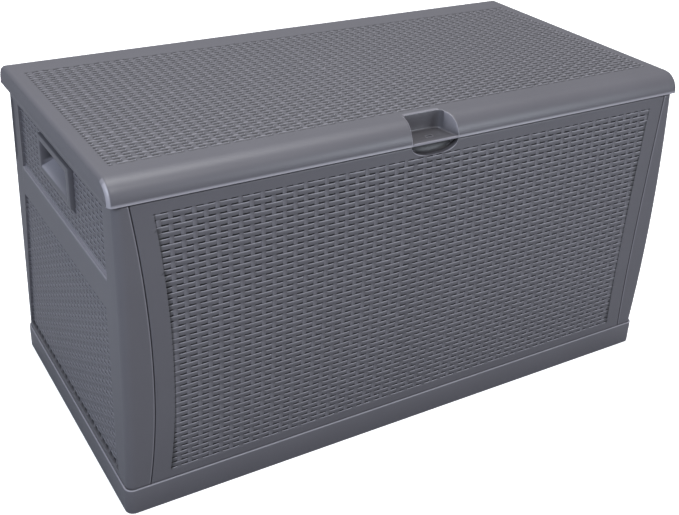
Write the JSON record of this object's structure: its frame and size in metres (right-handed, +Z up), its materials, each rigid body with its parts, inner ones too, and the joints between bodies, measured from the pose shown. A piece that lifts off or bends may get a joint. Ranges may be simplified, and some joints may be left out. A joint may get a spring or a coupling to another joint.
{
  "type": "deck storage box",
  "caption": "Moulded resin deck storage box with woven-look panels, hinged lid with rolled front edge, latch pocket, finger notch and side hand grips.",
  "frame": {"origin": "middle of the overall footprint, on the ground under the base", "axes": "+X to the right along the box's length, +Y to the hinged rear, +Z up; the front with the latch pocket faces -Y"},
  "size_m": [1.21, 0.6375, 0.644],
  "materials": {
    "resin": "slate grey injection-moulded polypropylene, fine grain, satin sheen",
    "inner_resin": "the same resin on the inside of the lid, smooth",
    "steel": "galvanised steel tube and pins",
    "zinc": "zinc-plated screws"
  },
  "bodies": {
    "box": {"base_tray": "resin", "front_panel": "resin", "back_panel": "resin", "right_side_panel": "resin", "left_side_panel": "resin", "right_hand_grip": "resin", "left_hand_grip": "resin", "hinge_pin_1": "steel", "hinge_pin_2": "steel", "hinge_pin_3": "steel", "panel_screw_1": "zinc", "panel_screw_2": "zinc", "panel_screw_3": "zinc", "panel_screw_4": "zinc", "panel_screw_5": "zinc", "panel_screw_6": "zinc", "panel_screw_7": "zinc", "panel_screw_8": "zinc", "base_screw_1": "zinc", "base_screw_2": "zinc", "base_screw_3": "zinc", "base_screw_4": "zinc", "base_screw_5": "zinc", "base_screw_6": "zinc"},
    "lid": {"lid_shell": "resin", "lid_liner": "inner_resin", "lid_bar_front": "steel", "lid_bar_rear": "steel", "liner_screw_1": "zinc", "liner_screw_2": "zinc", "liner_screw_3": "zinc", "liner_screw_4": "zinc", "liner_screw_5": "zinc", "liner_screw_6": "zinc"}
  },
  "joints": [
    {"name": "lid_hinge", "type": "hinge", "parent": "box", "child": "lid", "pos_m": [0, 0.30375, 0.612], "axis": [-1, 0, 0], "range_deg": [0, 100]}
  ]
}
